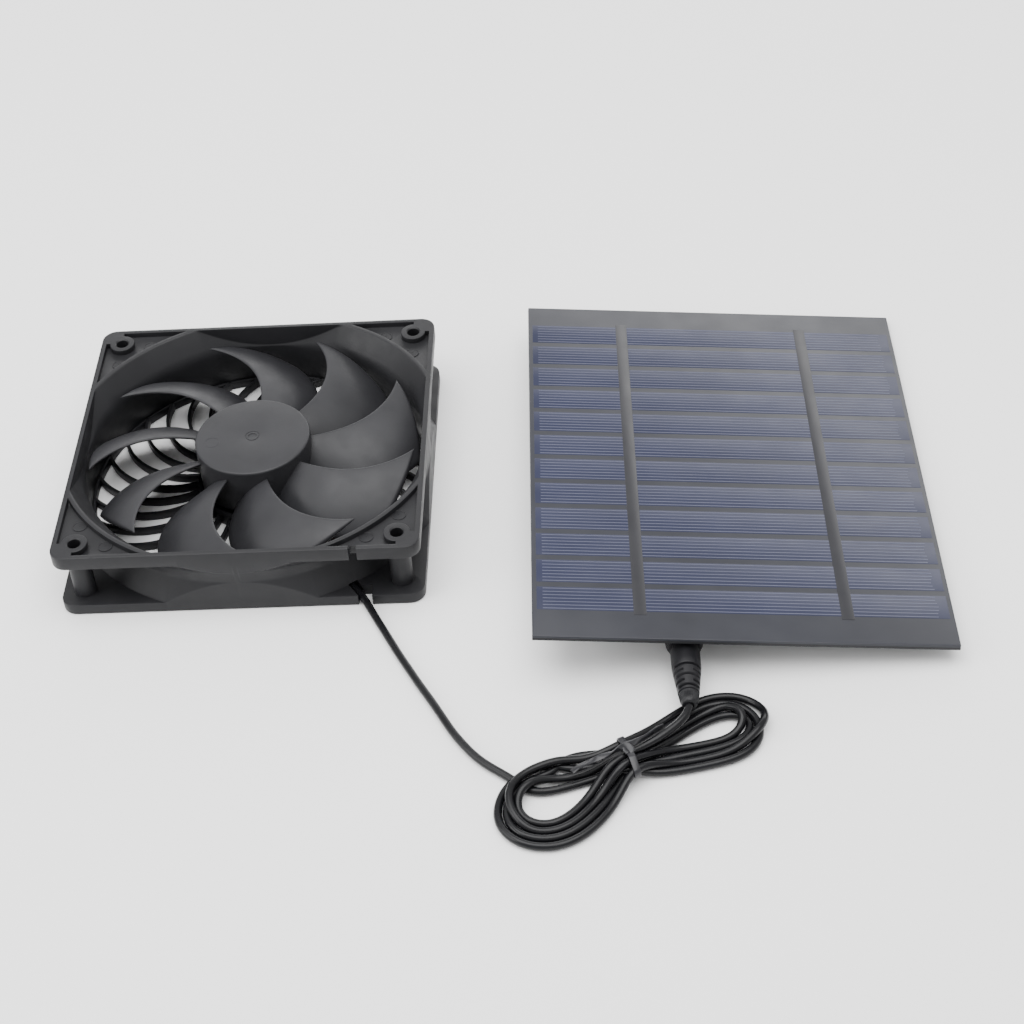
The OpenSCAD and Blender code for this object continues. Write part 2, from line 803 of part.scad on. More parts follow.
module blocking_diode() {
    color("#2c2c2e") on_panel() translate([box_x - wire_x, box_y1 + 8, socket_z]) rotate([-90, 0, 0]) {
        cylinder(r = diode_r, h = diode_l);
        translate([0, 0, -2.4]) cylinder(r = diode_lead_r, h = diode_lead_l, $fn = 24);
    }
}

module panel_wires() {
    drop = board_z - tab_t - socket_z;
    for (x = [-1, 1]) color(x < 0 ? "#a32020" : "#1c1c1e") on_panel()
        translate([box_x + x * wire_x, tab_y + tab_l / 2, socket_z]) {
            cylinder(r = panel_wire_r, h = drop, $fn = 24);
            sphere(r = panel_wire_r, $fn = 24);
            rotate([90, 0, 0]) cylinder(r = panel_wire_r, h = x < 0 ? 6.3 : 9, $fn = 24);
        }
}

// ---------- plug and lead ----------

module plug_body() {
    color("#2a2b2e") on_socket_axis() difference() {
        rotate_extrude() polygon([
            [0, plug_face], [collar_r - plug_edge, plug_face], [collar_r, plug_face + plug_edge],
            [collar_r, plug_face + collar_l], [grip_r + 0.3, plug_face + collar_l + shoulder_l],
            [grip_r, plug_face + collar_l + shoulder_l + 1.2], [grip_r, plug_face + grip_end],
            [tail_r, plug_face + relief_end], [tail_r - tail_round, plug_face + plug_l],
            [0, plug_face + plug_l]
        ]);
        translate([0, 0, plug_face - 1]) cylinder(d = barrel_d + 0.04, h = barrel_seat + 1);
    }
}

module plug_barrel() {
    color("#c4c6c9") on_socket_axis() difference() {
        translate([0, 0, plug_face - barrel_l]) cylinder(d = barrel_d, h = barrel_l + barrel_seat);
        translate([0, 0, plug_face - barrel_l - 1])
            cylinder(r = barrel_d / 2 - barrel_wall, h = barrel_l + barrel_seat - 1);
    }
}

module lead_cord() {
    color("#222326") swept_tube(lead_route, cord_r, 8);
}

module plug_cord() {
    color("#222326") swept_tube(plug_route, cord_r, 8);
}

// Places the tie's own frame: x across the bundle, y up, z along it
module at_waist() {
    translate([waist_at[0], waist_at[1], 0]) rotate([90, 0, bundle_turn + 90]) children();
}

// The bundle's outer shape: two round loops, drawn together at the tie
module cord_bundle() {
    across = [-sin(bundle_turn), cos(bundle_turn)];
    straight = [cos(bundle_turn), sin(bundle_turn)] * tie_w;
    color("#222326") {
        translate(bundle_left) cylinder(r = bundle_left_r, h = bundle_h);
        translate(bundle_right) cylinder(r = bundle_right_r, h = bundle_h);
        translate([0, 0, waist_z0]) linear_extrude(waist_z1 - waist_z0) polygon([
            bundle_left + across * bundle_left_r * 0.8, waist_at - straight + across * waist_w / 2,
            waist_at + straight + across * waist_w / 2, bundle_right + across * bundle_right_r * 0.8,
            bundle_right - across * bundle_right_r * 0.8, waist_at + straight - across * waist_w / 2,
            waist_at - straight - across * waist_w / 2, bundle_left - across * bundle_left_r * 0.8
        ]);
    }
}

module cord_tie() {
    color("#1d1e20") at_waist() translate([0, 0, -tie_w / 2]) linear_extrude(tie_w) difference() {
        translate([-waist_w / 2 - tie_t, 0]) square([waist_w + 2 * tie_t, waist_z1 + tie_t]);
        translate([-waist_w / 2, waist_z0]) square([waist_w, waist_z1 - waist_z0]);
    }
}

fan_frame();
exhaust_vanes();
base_label();
bearing_tube();
thrust_cap();
sleeve_bearing();
oil_seal();
stator_core();
lower_bobbin();
upper_bobbin();
stator_coils();
motor_board();
driver_chip();
lead_positive();
lead_negative();
impeller();
rotor_yoke();
ring_magnet();
shaft_bush();
rotor_shaft();
retaining_clip();
panel_laminate();
solar_cells();
busbar_tapes();
backing_board();
solder_tabs();
junction_base();
junction_cover();
cover_screws();
dc_socket();
socket_pin();
socket_spring();
blocking_diode();
panel_wires();
plug_body();
plug_barrel();
lead_cord();
cord_bundle();
plug_cord();
cord_tie();
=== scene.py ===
import json
import math
import bmesh
import bpy
import numpy as np
from mathutils import Matrix, Vector


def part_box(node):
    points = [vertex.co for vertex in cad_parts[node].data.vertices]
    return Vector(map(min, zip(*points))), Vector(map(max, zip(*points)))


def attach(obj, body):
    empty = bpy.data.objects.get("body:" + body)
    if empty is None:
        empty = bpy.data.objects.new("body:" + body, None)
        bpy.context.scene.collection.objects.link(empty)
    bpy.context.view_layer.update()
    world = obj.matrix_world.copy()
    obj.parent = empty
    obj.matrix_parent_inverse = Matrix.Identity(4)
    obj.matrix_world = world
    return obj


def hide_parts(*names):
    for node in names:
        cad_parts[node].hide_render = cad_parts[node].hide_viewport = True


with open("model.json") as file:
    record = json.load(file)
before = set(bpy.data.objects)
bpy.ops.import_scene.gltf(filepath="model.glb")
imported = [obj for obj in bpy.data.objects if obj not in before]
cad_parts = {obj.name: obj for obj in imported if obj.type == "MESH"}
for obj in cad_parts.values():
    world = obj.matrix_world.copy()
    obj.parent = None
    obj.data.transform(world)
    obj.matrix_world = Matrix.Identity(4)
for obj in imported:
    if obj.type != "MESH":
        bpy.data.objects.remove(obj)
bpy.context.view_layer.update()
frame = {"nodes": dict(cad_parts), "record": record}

# The script works in millimetres and writes metres.
MM = 0.001
LEAD_D = 2.6
FAN_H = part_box("fan_frame")[1].z / MM
FAN_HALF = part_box("fan_frame")[1].x / MM


# ---------- camera, lights and floor ----------

# The photograph's view: degrees for the angles, millimetres for the rest
VIEW_AZIMUTH = 4.325
VIEW_ELEVATION = 42.112
VIEW_ROLL = -4.993
VIEW_TARGET = (87.43, -17.63, 0)
VIEW_DISTANCE = 736.27
VIEW_LENS = 76.25
SENSOR_W = 36


def make_camera():
    azimuth, elevation, roll = (math.radians(a) for a in (VIEW_AZIMUTH, VIEW_ELEVATION, VIEW_ROLL))
    toward = Vector((math.sin(azimuth) * math.cos(elevation),
                     -math.cos(azimuth) * math.cos(elevation), math.sin(elevation)))
    target, distance = Vector(VIEW_TARGET) * MM, VIEW_DISTANCE * MM
    right = (-toward).cross(Vector((0, 0, 1))).normalized()
    up = right.cross(-toward)
    level = Matrix((right, up, toward)).transposed()
    data = bpy.data.cameras.new("camera")
    data.sensor_width = SENSOR_W
    data.lens = VIEW_LENS
    camera = bpy.data.objects.new("camera", data)
    camera.matrix_world = (Matrix.Translation(target + toward * distance)
                           @ (level @ Matrix.Rotation(roll, 3, "Z")).to_4x4())
    bpy.context.collection.objects.link(camera)
    bpy.context.scene.camera = camera


LIGHT_AT = (0.08, -0.01, 0)
# Each light: its name, place, target, size and power
LIGHTS = [
    ("top_light", (0.05, -0.1, 1.0), LIGHT_AT, (1.2, 0.9), 19),
    ("back_light", (0.25, 1.0, 0.42), (0.1, 0.05, 0), (1.4, 0.45), 6),
    ("left_light", (-0.9, -0.3, 0.55), LIGHT_AT, (0.7, 0.7), 7.5),
]
WORLD_STRENGTH = 1.05
FLOOR_SIZE = 6
FLOOR_TOP = -0.0002
FLOOR_GREY = 0.93


def make_area_light(name, place, target, size, power):
    data = bpy.data.lights.new(name, "AREA")
    data.shape = "RECTANGLE"
    data.size, data.size_y = size
    data.energy = power
    light = bpy.data.objects.new(name, data)
    light.location = place
    light.rotation_euler = (Vector(target) - Vector(place)).to_track_quat("-Z", "Y").to_euler()
    bpy.context.collection.objects.link(light)


def make_studio():
    world = bpy.data.worlds.new("studio")
    world.use_nodes = True
    background = world.node_tree.nodes["Background"]
    background.inputs["Color"].default_value = (1, 1, 1, 1)
    background.inputs["Strength"].default_value = WORLD_STRENGTH
    bpy.context.scene.world = world
    for light in LIGHTS:
        make_area_light(*light)
    bpy.ops.mesh.primitive_plane_add(size=FLOOR_SIZE, location=(0, 0, FLOOR_TOP))
    floor = bpy.context.object
    floor.name = "floor"
    material = bpy.data.materials.new("floor_paint")
    material.use_nodes = True
    shader = material.node_tree.nodes["Principled BSDF"]
    shader.inputs["Base Color"].default_value = (*[FLOOR_GREY] * 3, 1)
    shader.inputs["Roughness"].default_value = 1
    floor.data.materials.append(material)


# ---------- materials ----------

class Finish:
    """One procedural material: a colour and a roughness that vary a little, and a fine bump."""

    def __init__(self, name, color, roughness, metallic=0.0, specular=0.5):
        self.name = name
        self.material = bpy.data.materials.new(name)
        self.material.use_nodes = True
        self.nodes = self.material.node_tree.nodes
        self.links = self.material.node_tree.links
        self.shader = self.nodes["Principled BSDF"]
        self.shader.inputs["Metallic"].default_value = metallic
        self.shader.inputs["Specular IOR Level"].default_value = specular
        self.color, self.roughness = color, roughness
        self.position = self.nodes.new("ShaderNodeTexCoord").outputs["Object"]

    def noise(self, per_mm, detail, stretch):
        mapping = self.nodes.new("ShaderNodeMapping")
        mapping.inputs["Scale"].default_value = [s / MM for s in stretch]
        self.links.new(self.position, mapping.inputs["Vector"])
        node = self.nodes.new("ShaderNodeTexNoise")
        node.inputs["Scale"].default_value = per_mm
        node.inputs["Detail"].default_value = detail
        self.links.new(mapping.outputs["Vector"], node.inputs["Vector"])
        return node.outputs["Fac"]

    def ramp(self, factor, low, high):
        """From the low to the high value over the middle of the noise's range."""
        node = self.nodes.new("ShaderNodeValToRGB")
        for element, place, value in zip(node.color_ramp.elements, (0.35, 0.65), (low, high)):
            element.position, element.color = place, (*value, 1)
        self.links.new(factor, node.inputs["Fac"])
        return node.outputs["Color"]

    def vary(self, per_mm, amount, rough_amount):
        """Cloudy colour and roughness over the surface."""
        even = (1, 1, 1)
        cloud = self.noise(per_mm, 6, even)
        low = [c * (1 - amount) for c in self.color]
        high = [min(1, c * (1 + amount)) for c in self.color]
        self.links.new(self.ramp(cloud, low, high), self.shader.inputs["Base Color"])
        gloss = self.noise(per_mm * 3.1, 5, even)
        low_rough, high_rough = self.roughness - rough_amount, self.roughness + rough_amount
        rough = self.ramp(gloss, [low_rough] * 3, [high_rough] * 3)
        self.links.new(rough, self.shader.inputs["Roughness"])
        return self

    def grain(self, per_mm, depth, stretch=(1, 1, 1)):
        """A moulded or sanded texture, depth in millimetres."""
        bump = self.nodes.new("ShaderNodeBump")
        bump.inputs["Distance"].default_value = depth * MM
        bump.inputs["Strength"].default_value = 1
        self.links.new(self.noise(per_mm, 3, stretch), bump.inputs["Height"])
        self.links.new(bump.outputs["Normal"], self.shader.inputs["Normal"])
        return self


def dark_plastic(name, color, roughness, grain_depth, specular=0.25):
    finish = Finish(name, color, roughness, specular=specular)
    return finish.vary(0.05, 0.12, 0.06).grain(1.8, grain_depth)


def bare_metal(name, color, roughness, brushed=(1, 1, 1)):
    return Finish(name, color, roughness, 1.0).vary(0.4, 0.14, 0.08).grain(2.5, 0.01, brushed)


def panel_film(name, color):
    """What lies under the panel's clear film: it varies little, and the film is slightly uneven."""
    finish = Finish(name, color, 0.34, specular=0.28)
    return finish.vary(0.03, 0.08, 0.04).grain(0.12, 0.02)


def make_finishes():
    finishes = [
        dark_plastic("fan_plastic", (0.0115, 0.0115, 0.0130), 0.45, 0.03),
        dark_plastic("rotor_plastic", (0.0205, 0.0205, 0.0228), 0.42, 0.016),
        dark_plastic("chip_black", (0.02, 0.02, 0.022), 0.5, 0.01),
        dark_plastic("red_insulation", (0.42, 0.02, 0.02), 0.35, 0.01),
        dark_plastic("black_insulation", (0.012, 0.012, 0.014), 0.35, 0.01),
        dark_plastic("ferrite", (0.05, 0.05, 0.05), 0.6, 0.02),
        dark_plastic("board", (0.013, 0.0135, 0.0155), 0.5, 0.02),
        dark_plastic("box_plastic", (0.013, 0.0135, 0.0155), 0.48, 0.03),
        dark_plastic("cord_pvc", (0.0055, 0.0055, 0.0065), 0.25, 0.012, 0.22),
        dark_plastic("plug_pvc", (0.0085, 0.0085, 0.010), 0.42, 0.03),
        dark_plastic("tie_film", (0.012, 0.012, 0.0145), 0.3, 0.02, 0.4),
        dark_plastic("label_paper", (0.62, 0.63, 0.64), 0.4, 0.01),
        dark_plastic("white_nylon", (0.72, 0.7, 0.62), 0.45, 0.01),
        dark_plastic("circuit_board", (0.03, 0.16, 0.07), 0.35, 0.02),
        bare_metal("bronze", (0.58, 0.42, 0.2), 0.36, (1, 1, 6)),
        bare_metal("core_steel", (0.42, 0.43, 0.45), 0.38, (0.2, 0.2, 6)),
        bare_metal("copper_wire", (0.6, 0.22, 0.09), 0.3, (0.3, 0.3, 4)),
        bare_metal("tin", (0.65, 0.66, 0.68), 0.3),
        bare_metal("screw_steel", (0.5, 0.51, 0.53), 0.32),
        bare_metal("plug_nickel", (0.7, 0.7, 0.72), 0.2),
        panel_film("laminate", (0.024, 0.025, 0.031)),
        panel_film("silicon", (0.0165, 0.0190, 0.043)),
        panel_film("tape", (0.020, 0.020, 0.0235)),
        panel_film("finger_silver", (0.068, 0.073, 0.112)),
    ]
    return {finish.name: finish.material for finish in finishes}


# ---------- mesh helpers ----------

# Points closer than this, in millimetres, become one
WELD = 0.004


def mesh_piece(name, points, faces, finish, body, smooth_angle=35):
    """A mesh from millimetre points, with sharp edges kept above the angle."""
    mesh = bpy.data.meshes.new(name)
    mesh.from_pydata([Vector(p) * MM for p in points], [], faces)
    bm = bmesh.new()
    bm.from_mesh(mesh)
    bmesh.ops.remove_doubles(bm, verts=bm.verts, dist=WELD * MM)
    bmesh.ops.recalc_face_normals(bm, faces=bm.faces)
    bm.to_mesh(mesh)
    bm.free()
    mesh.materials.append(FINISH[finish])
    piece = bpy.data.objects.new(name, mesh)
    bpy.context.collection.objects.link(piece)
    smooth(piece, smooth_angle)
    if body:
        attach(piece, body)
    return piece


def smooth(piece, angle=35):
    piece.data.shade_smooth()
    piece.data.set_sharp_from_angle(angle=math.radians(angle))


def grid_faces(rows, columns, closed_rows=False):
    """Quads over rows x columns points that are stored row by row; each row closes on itself."""
    faces = []
    for i in range(rows if closed_rows else rows - 1):
        for j in range(columns):
            a, b = i * columns + j, i * columns + (j + 1) % columns
            c, d = ((i + 1) % rows) * columns + (j + 1) % columns, ((i + 1) % rows) * columns + j
            faces.append((a, b, c, d))
    return faces


def capped(rows, columns):
    """The faces of a closed tube: quads between the rows, and a cap on the first and the last."""
    last = (rows - 1) * columns
    return grid_faces(rows, columns) + [tuple(range(columns)), tuple(range(last, last + columns))]


def rounded(outline, radii, steps=3):
    """Replaces each corner of a closed outline of (r, z) points by a short arc."""
    result = []
    count = len(outline)
    for i in range(count):
        p, before, after = (Vector(outline[k % count]) for k in (i, i - 1, i + 1))
        back, forth = before - p, after - p
        reach = min(radii[i], back.length * 0.45, forth.length * 0.45)
        start = p + (back.normalized() * reach if back.length > 1e-6 else back)
        end = p + (forth.normalized() * reach if forth.length > 1e-6 else forth)
        for k in range(steps + 1):
            t = k / steps
            result.append(start * (1 - t) ** 2 + p * 2 * t * (1 - t) + end * t * t)
    return result


def revolved(outline, radii, segments, steps=3):
    """Points and faces of a closed outline of (r, z) points turned round the Z axis."""
    section = rounded(outline, radii, steps)
    points = []
    for k in range(segments):
        a = 2 * math.pi * k / segments
        points += [(p[0] * math.cos(a), p[0] * math.sin(a), p[1]) for p in section]
    return points, grid_faces(segments, len(section), closed_rows=True)


def joined(parts):
    """Several (points, faces) pairs as one."""
    points, faces = [], []
    for more_points, more_faces in parts:
        base = len(points)
        points += list(more_points)
        faces += [tuple(base + i for i in face) for face in more_faces]
    return points, faces


def cut(piece, cutters, operation="DIFFERENCE"):
    """Applies an exact boolean with each cutter, and deletes the cutters."""
    for cutter in cutters:
        modifier = piece.modifiers.new("cut", "BOOLEAN")
        modifier.operation = operation
        modifier.solver = "EXACT"
        modifier.object = cutter
        bpy.context.view_layer.objects.active = piece
        bpy.ops.object.modifier_apply(modifier=modifier.name)
        bpy.data.objects.remove(cutter)


# ---------- the lead: from the frame's notch, through the tied bundle, to the plug ----------

# The lead's own points before and after the bundle, in metres
LEAD_ROUTE = [
    (0.034, -0.0504, 0.0024), (0.0368, -0.0545, 0.0024), (0.0395, -0.0586, 0.0022),
    (0.0418, -0.0626, 0.0017), (0.044, -0.067, 0.0014), (0.047, -0.073, 0.0014),
    (0.050, -0.079, 0.0014), (0.053, -0.085, 0.0014), (0.0565, -0.0915, 0.0014),
    (0.060, -0.098, 0.0014), (0.064, -0.105, 0.0014), (0.0675, -0.1115, 0.0014),
    (0.071, -0.118, 0.0014), (0.075, -0.124, 0.0014), (0.0795, -0.130, 0.0014),
    (0.0845, -0.1355, 0.0014), (0.090, -0.1395, 0.0014)]
PLUG_ROUTE = [
    (0.1305, -0.1299, 0.0064), (0.1342, -0.1276, 0.007), (0.1378, -0.125, 0.0077),
    (0.1408, -0.1222, 0.0082), (0.1427, -0.1192, 0.0084), (0.1434, -0.116, 0.0085),
    (0.1434, -0.1135, 0.0084)]
# The bundle's own frame: x along it and y across it, from its waist, where the tie is
WAIST = (124.5, -133.0)
BUNDLE_TURN = math.atan2(25.5, 52.3)
FLOOR_Z = LEAD_D / 2 + 0.1
LAYER = 2.75
RIGHT, LEFT = 1, -1
# Each loop: its side, centre along and across, radius, and (across, layer) of its two ends at the tie
LOOPS = [
    (RIGHT, 34.0, -2.0, 9.4, (-3.9, 0), (3.9, 0)),
    (LEFT, -28.0, -3.5, 12.3, (3.9, 0), (-1.3, 0)),
    (RIGHT, 31.0, -2.0, 7.8, (-1.3, 0), (1.3, 0)),
    (LEFT, -28.3, -5.0, 14.4, (1.3, 0), (-3.9, 1)),
    (RIGHT, 35.5, 1.0, 9.8, (-3.9, 1), (3.9, 1)),
    (LEFT, -29.5, -1.8, 11.0, (3.9, 1), (-1.3, 1)),
    (RIGHT, 30.5, 0.5, 7.8, (-1.3, 1), (1.3, 1)),
    (LEFT, -28.0, -1.0, 9.4, (1.3, 1), (0.0, 2)),
]
INTO_BUNDLE = [(-24, 3.5, FLOOR_Z), (-15, -0.8, FLOOR_Z), (-8, -3.2, FLOOR_Z)]
# A loop's arc has this many steps, and its straight runs have a point at each of these shares
ARC_STEPS = 12
RUN_SHARES = (0.12, 0.5, 0.8)
# The distance between the line's points, and the last ones at each end that don't move
LINE_STEP = 2.6
HELD = 8
# The bundle's relaxation: its rounds, the strands' distance, and how much of each move a round makes
ROUNDS = 600
APART = 2.8
PUSH = 0.3
PUSH_MOST = 0.5
BEND = 0.9
PULL = 0.25
SINK = 0.03
SQUEEZE = 0.25
# The tie reaches this far along the bundle, and holds it this wide to each side
WAIST_REACH = 9
WAIST_HALF = 4.6


def to_bundle(point):
    """From metres in the frame to millimetres along, across and above the bundle."""
    dx, dy = point[0] / MM - WAIST[0], point[1] / MM - WAIST[1]
    c, s = math.cos(BUNDLE_TURN), math.sin(BUNDLE_TURN)
    return (dx * c + dy * s, dy * c - dx * s, point[2] / MM)


def from_bundle(point):
    """From the bundle's millimetres to the frame's."""
    c, s = math.cos(BUNDLE_TURN), math.sin(BUNDLE_TURN)
    x, y, z = point
    return (WAIST[0] + x * c - y * s, WAIST[1] + x * s + y * c, z)


def loop_points(side, along, across, radius, start, end):
    """One loop of the bundle: a straight run from the tie, round an arc, and straight back."""
    turn = 1 if start[0] > end[0] else -1
    angles = []
    for y, way in ((start[0], turn), (end[0], -turn)):
        dx, dy = along, across - y
        # The arc starts where the straight run touches the circle
        spread = math.acos(min(1, radius / math.hypot(dx, dy)))
        back = math.atan2(-dy, -dx)
        angles.append(back - side * way * spread)
    first, last = angles
    sweep = (last - first) % (2 * math.pi)
    if side * turn > 0:
        sweep -= 2 * math.pi
    z0, z1 = FLOOR_Z + LAYER * start[1], FLOOR_Z + LAYER * end[1]
    arc = []
    for k in range(ARC_STEPS + 1):
        a = first + sweep * k / ARC_STEPS
        # The strand climbs to its next layer over the arc's middle
        z = z0 + (z1 - z0) * min(1, max(0, (k - 2) / 8))
        arc.append((along + radius * math.cos(a), across + radius * math.sin(a), z))
    out = [(arc[0][0] * share, start[0] + (arc[0][1] - start[0]) * share, z0) for share in RUN_SHARES]
    back = [(arc[-1][0] * share, end[0] + (arc[-1][1] - end[0]) * share, z1)
            for share in reversed(RUN_SHARES)]
    return out + arc + back


def even_steps(points, step):
    """A smooth (Catmull-Rom) curve through the points, as points one step apart."""
    points = np.array(points)
    before = np.vstack([points[:1], points[:-2]])
    start, end = points[:-1], points[1:]
    after = np.vstack([points[2:], points[-1:]])
    curve = []
    for t in np.linspace(0, 1, 10, endpoint=False):
        curve.append(0.5 * (2 * start + (end - before) * t
                            + (2 * before - 5 * start + 4 * end - after) * t ** 2
                            + (3 * start - before - 3 * end + after) * t ** 3))
    curve = np.vstack([np.stack(curve, 1).reshape(-1, 3), points[-1:]])
    run = np.concatenate([[0], np.cumsum(np.linalg.norm(np.diff(curve, axis=0), axis=1))])
    places = np.linspace(0, run[-1], int(round(run[-1] / step)) + 1)
    return np.stack([np.interp(places, run, curve[:, axis]) for axis in range(3)], 1)


def settled(points, held_start, held_end):
    """Lets the bundle find its rest: strands push apart, bend evenly, keep their length and sink."""
    points = points.copy()
    count = len(points)
    index = np.arange(count)
    neighbours = np.abs(index[:, None] - index[None]) <= 3
    free = slice(held_start, count - held_end)
    step = np.linalg.norm(np.diff(points, axis=0), axis=1).mean()
    for turn in range(ROUNDS):
        ending = turn > ROUNDS * 0.85
        gap = points[:, None] - points[None]
        distance = np.linalg.norm(gap, axis=2)
        push = np.where((distance < APART) & ~neighbours,
                        (APART - distance) / np.maximum(distance, 0.3), 0)
        move = PUSH * (push[..., None] * gap * np.array([0.8, 0.8, 1.3])).sum(1)
        bend = np.zeros_like(points)
        bend[2:-2] = (4 * points[1:-3] - points[:-4] - 6 * points[2:-2]
                      + 4 * points[3:-1] - points[4:]) / 16
        pull = np.zeros_like(points)
        edge = np.diff(points, axis=0)
        length = np.linalg.norm(edge, axis=1, keepdims=True)
        pull[:-1] += PULL * (length - step) * edge / length
        pull[1:] -= PULL * (length - step) * edge / length
        # 1 at the tie and 0 beyond its reach: the tie holds the strands in there
        waist = np.clip(1 - np.abs(points[:, 0]) / WAIST_REACH, 0, 1)
        ease = 0.7 if ending else 1.0
        change = np.clip(move, -PUSH_MOST, PUSH_MOST) + BEND * ease * bend + ease * pull
        change[:, 2] -= 0 if ending else SINK * (1 - waist)
        over = np.maximum(0, np.abs(points[:, 1]) - (WAIST_HALF + WAIST_REACH * (1 - waist)))
        change[:, 1] -= SQUEEZE * np.sign(points[:, 1]) * over * (waist > 0)
        points[free] += change[free]
        under_tie = np.clip(1 - np.abs(points[:, 0]) / 6, 0, 1)
        points[:, 2] = np.maximum(points[:, 2], FLOOR_Z + 0.7 * under_tie)
    return points


def cord_line():
    """The whole lead, in millimetres."""
    lead = [to_bundle(p) for p in LEAD_ROUTE]
    tail = [to_bundle(p) for p in PLUG_ROUTE]
    hank = [p for loop in LOOPS for p in loop_points(*loop)]
    line = even_steps(lead + INTO_BUNDLE + hank + tail, LINE_STEP)
    lead_run = even_steps(lead, LINE_STEP)
    line = settled(line, len(lead_run) - HELD, HELD)
    line[:len(lead_run) - HELD, 2] = lead_run[:-HELD, 2]
    return [from_bundle(p) for p in line]


def make_lead():
    line = cord_line()
    data = bpy.data.curves.new("lead", "CURVE")
    data.dimensions = "3D"
    spline = data.splines.new("NURBS")
    spline.points.add(len(line) - 1)
    for point, place in zip(spline.points, line):
        point.co = (*(Vector(place) * MM), 1)
    spline.use_endpoint_u = True
    spline.order_u = 4
    data.resolution_u = 3
    data.bevel_depth = LEAD_D / 2 * MM
    data.bevel_resolution = 4
    data.use_fill_caps = True
    data.materials.append(FINISH["cord_pvc"])
    lead = bpy.data.objects.new("lead", data)
    bpy.context.collection.objects.link(lead)
    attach(lead, "root")
    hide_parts("lead_cord", "cord_bundle", "plug_cord")
    return lead, line


# ---------- the tie round the bundle ----------

TIE_T = 0.55
TIE_W = 2.2
TIE_END_HALF = 1.05
# The band fits round the strands that pass this near its middle, with this much room
TIE_NEAR = 1.6
TIE_ROOM = 0.12
# The two loose ends of the tie, in the bundle's frame; each point has the ribbon's roll in degrees
TIE_LEFT_END = [
    (0.8, -1.6, 8.0, 0), (0.5, -0.4, 8.6, 25), (-0.4, 0.6, 9.0, 70), (-2.4, 0.9, 8.8, 120),
    (-4.4, 1.0, 8.4, 170), (-6.6, 1.1, 8.1, 190), (-9.0, 1.2, 7.9, 170), (-11.4, 1.3, 7.6, 160),
    (-15.3, 1.5, 7.2, 165), (-18.2, 1.0, 6.6, 170)]
TIE_RIGHT_END = [
    (-0.6, -1.2, 8.0, 0), (-0.9, 0.2, 8.5, -30), (0.2, 1.0, 8.8, -60), (2.0, 0.8, 9.0, -85),
    (4.2, 1.0, 8.9, -95), (6.4, 1.5, 8.6, -90), (10.5, 2.9, 8.0, -85), (13.5, 3.5, 7.6, -90)]


def hull(points):
    """The convex hull of (y, z) points, in order."""
    points = sorted(set(points))
    chains = []
    for ordered in (points, points[::-1]):
        chain = []
        for p in ordered:
            while len(chain) > 1 and ((chain[-1][0] - chain[-2][0]) * (p[1] - chain[-2][1])
                                      <= (chain[-1][1] - chain[-2][1]) * (p[0] - chain[-2][0])):
                chain.pop()
            chain.append(p)
        chains += chain[:-1]
    return chains


def ribbon(places, half_width, half_t):
    """A flat strip with round edges along points that each carry a roll angle."""
    line = even_steps([p[:3] for p in places], 0.25)
    count = len(line)
    rolls = np.interp(np.linspace(0, 1, count), np.linspace(0, 1, len(places)),
                      [p[3] for p in places])
    around = 12
    points = []
    for i in range(count):
        ahead = Vector(line[min(i + 1, count - 1)]) - Vector(line[max(i - 1, 0)])
        ahead.normalize()
        side = ahead.cross(Vector((0, 0, 1))).normalized()
        up = side.cross(ahead)
        roll = math.radians(rolls[i])
        wide = side * math.cos(roll) + up * math.sin(roll)
        thin = up * math.cos(roll) - side * math.sin(roll)
        for k in range(around):
            a = 2 * math.pi * k / around
            c, s = math.cos(a), math.sin(a)
            p = (Vector(line[i]) + wide * half_width * math.copysign(abs(c) ** 0.6, c)
                 + thin * half_t * math.copysign(abs(s) ** 0.6, s))
            points.append(from_bundle(p))
    return points, capped(count, around)


def make_tie(line):
    strands = [to_bundle([c * MM for c in p]) for p in line]
    reach = LEAD_D / 2 + TIE_ROOM
    circles = []
    around = 24
    for x, y, z in strands:
        if abs(x) < TIE_NEAR:
            for k in range(around):
                a = 2 * math.pi * k / around
                circles.append((round(y + reach * math.cos(a), 3), round(z + reach * math.sin(a), 3)))
    outline = hull(circles)
    points = []
    half = TIE_W / 2
    band = rounded([(-half, 0), (half, 0), (half, TIE_T), (-half, TIE_T)], [0.25] * 4, 2)
    count = len(outline)
    for i in range(count):
        before, here, after = Vector(outline[i - 1]), Vector(outline[i]), Vector(outline[(i + 1) % count])
        away = (after - before).normalized()
        away = Vector((away.y, -away.x))
        for along, out in band:
            y, z = here + away * out
            points.append(from_bundle((along + 0.12 * y, y, max(z, 0.05 + out * 0.2))))
    loop = points, grid_faces(count, len(band), closed_rows=True)
    parts = [loop, ribbon(TIE_LEFT_END, TIE_END_HALF, 0.3), ribbon(TIE_RIGHT_END, TIE_END_HALF, 0.28)]
    points, faces = joined(parts)
    tie = mesh_piece("twist_tie", points, faces, "tie_film", "root", 50)
    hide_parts("cord_tie")
    return tie


# ---------- fan frame ----------

# The direction of the channel that the motor's leads run in
LEAD_CHANNEL = math.atan2(-60, 40.5)
CORNER_R = 5.0
# The duct, and its mouth, which flares from a height and is cut off flat at the four sides
DUCT_R = 58.0
FLAT_IN = 58.3
MOUTH_R = 64.0
FLARE_Z = 17.0
# The corner pockets, between a lip round the mouth and a rim along the flange's edge
LIP_R = 65.6
RIM_IN = 58.2
RIM_T = 1.8
POCKET_Z = 23.0
TOP_FLANGE = 5
LOW_FLANGE = 4
# The duct wall's outside, and the two flares that run from it under the upper flange and onto the lower one
WALL_R = 60
BELL_LOW = 16
BELL_OUT = 62.8
FOOT_HIGH = 12
FOOT_OUT = 65
